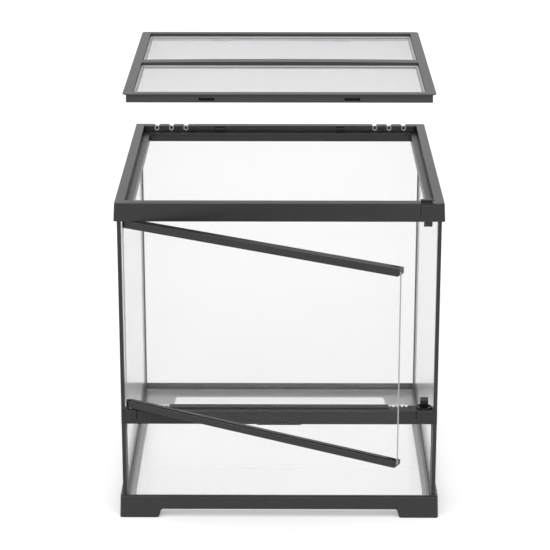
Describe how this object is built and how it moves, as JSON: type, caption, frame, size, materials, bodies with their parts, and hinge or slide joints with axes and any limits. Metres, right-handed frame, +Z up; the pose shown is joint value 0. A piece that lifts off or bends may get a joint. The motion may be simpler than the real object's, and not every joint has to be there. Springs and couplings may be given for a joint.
{
  "type": "terrarium",
  "caption": "Cube glass terrarium in dark moulded frames, with a side-hung front door, spring door catches, cable inlets and a lift-off screen lid held by sliding latches.",
  "frame": {"origin": "on the floor, under the middle of the stored shape's bounding box, with the door ajar and the lid raised", "axes": "+X to the right seen from the front, +Y to the back of the tank, +Z up; the door is on the -Y side"},
  "size_m": [0.455, 0.6634, 0.6165],
  "materials": {
    "frame_plastic": "dark grey moulded, fine grain",
    "black_plastic": "black moulded, smooth",
    "light_plastic": "light grey moulded, smooth",
    "black_silicone": "black sealant",
    "clear_glass": "clear float glass",
    "screen_metal": "fine woven wire",
    "steel": "bright drawn"
  },
  "bodies": {
    "tank": {"base_frame": "frame_plastic", "bottom_pane": "clear_glass", "left_pane": "clear_glass", "right_pane": "clear_glass", "back_pane": "clear_glass", "front_pane": "clear_glass", "left_corner_strip": "black_plastic", "right_corner_strip": "black_plastic", "back_left_seal": "black_silicone", "back_right_seal": "black_silicone", "front_left_seal": "black_silicone", "front_right_seal": "black_silicone", "floor_seal": "black_silicone", "sill_bar": "frame_plastic", "sill_strip": "frame_plastic", "top_frame": "frame_plastic", "left_outer_cable_ring": "light_plastic", "left_middle_cable_ring": "light_plastic", "left_inner_cable_ring": "light_plastic", "right_outer_cable_ring": "light_plastic", "right_middle_cable_ring": "light_plastic", "right_inner_cable_ring": "light_plastic", "lower_catch_housing": "black_plastic", "lower_catch_spring": "steel", "upper_catch_housing": "black_plastic", "upper_catch_spring": "steel", "upper_hinge_pin": "steel", "lower_hinge_pin": "steel"},
    "door": {"door_glass": "clear_glass", "door_top_rail": "frame_plastic", "door_bottom_rail": "frame_plastic"},
    "lid": {"lid_frame": "frame_plastic", "front_screen": "screen_metal", "back_screen": "screen_metal", "front_screen_bead": "light_plastic", "back_screen_bead": "light_plastic"},
    "left_shutter": {"left_cable_shutter": "black_plastic"},
    "right_shutter": {"right_cable_shutter": "black_plastic"},
    "front_left_latch": {"lid_latch_front_left": "black_plastic"},
    "front_right_latch": {"lid_latch_front_right": "black_plastic"},
    "rear_left_latch": {"lid_latch_rear_left": "black_plastic"},
    "rear_right_latch": {"lid_latch_rear_right": "black_plastic"},
    "lower_catch": {"lower_catch_bolt": "black_plastic"},
    "upper_catch": {"upper_catch_bolt": "black_plastic"}
  },
  "joints": [
    {"name": "door_hinge", "type": "hinge", "parent": "tank", "child": "door", "pos_m": [-0.2098, -0.11077, 0.3], "axis": [0, 0, -1], "range_deg": [-30.5, 64.5]},
    {"name": "lid_lift", "type": "slide", "parent": "tank", "child": "lid", "axis": [0, 0, 1], "range_m": [-0.145, 0.05]},
    {"name": "left_shutter_slide", "type": "slide", "parent": "tank", "child": "left_shutter", "axis": [1, 0, 0], "range_m": [0, 0.01125]},
    {"name": "right_shutter_slide", "type": "slide", "parent": "tank", "child": "right_shutter", "axis": [-1, 0, 0], "range_m": [0, 0.01125]},
    {"name": "front_left_latch_slide", "type": "slide", "parent": "tank", "child": "front_left_latch", "axis": [0, 1, 0], "range_m": [0, 0.005]},
    {"name": "front_right_latch_slide", "type": "slide", "parent": "tank", "child": "front_right_latch", "axis": [0, 1, 0], "range_m": [0, 0.005]},
    {"name": "rear_left_latch_slide", "type": "slide", "parent": "tank", "child": "rear_left_latch", "axis": [0, -1, 0], "range_m": [0, 0.005]},
    {"name": "rear_right_latch_slide", "type": "slide", "parent": "tank", "child": "rear_right_latch", "axis": [0, -1, 0], "range_m": [0, 0.005]},
    {"name": "lower_catch_press", "type": "slide", "parent": "tank", "child": "lower_catch", "axis": [0, 0, -1], "range_m": [0, 0.0129], "stiffness_N_per_m": 150, "springref_m": -0.004, "deforming": ["lower_catch_spring"]},
    {"name": "upper_catch_lift", "type": "slide", "parent": "tank", "child": "upper_catch", "axis": [0, 0, 1], "range_m": [0, 0.011], "stiffness_N_per_m": 150, "springref_m": -0.004, "deforming": ["upper_catch_spring"]}
  ]
}
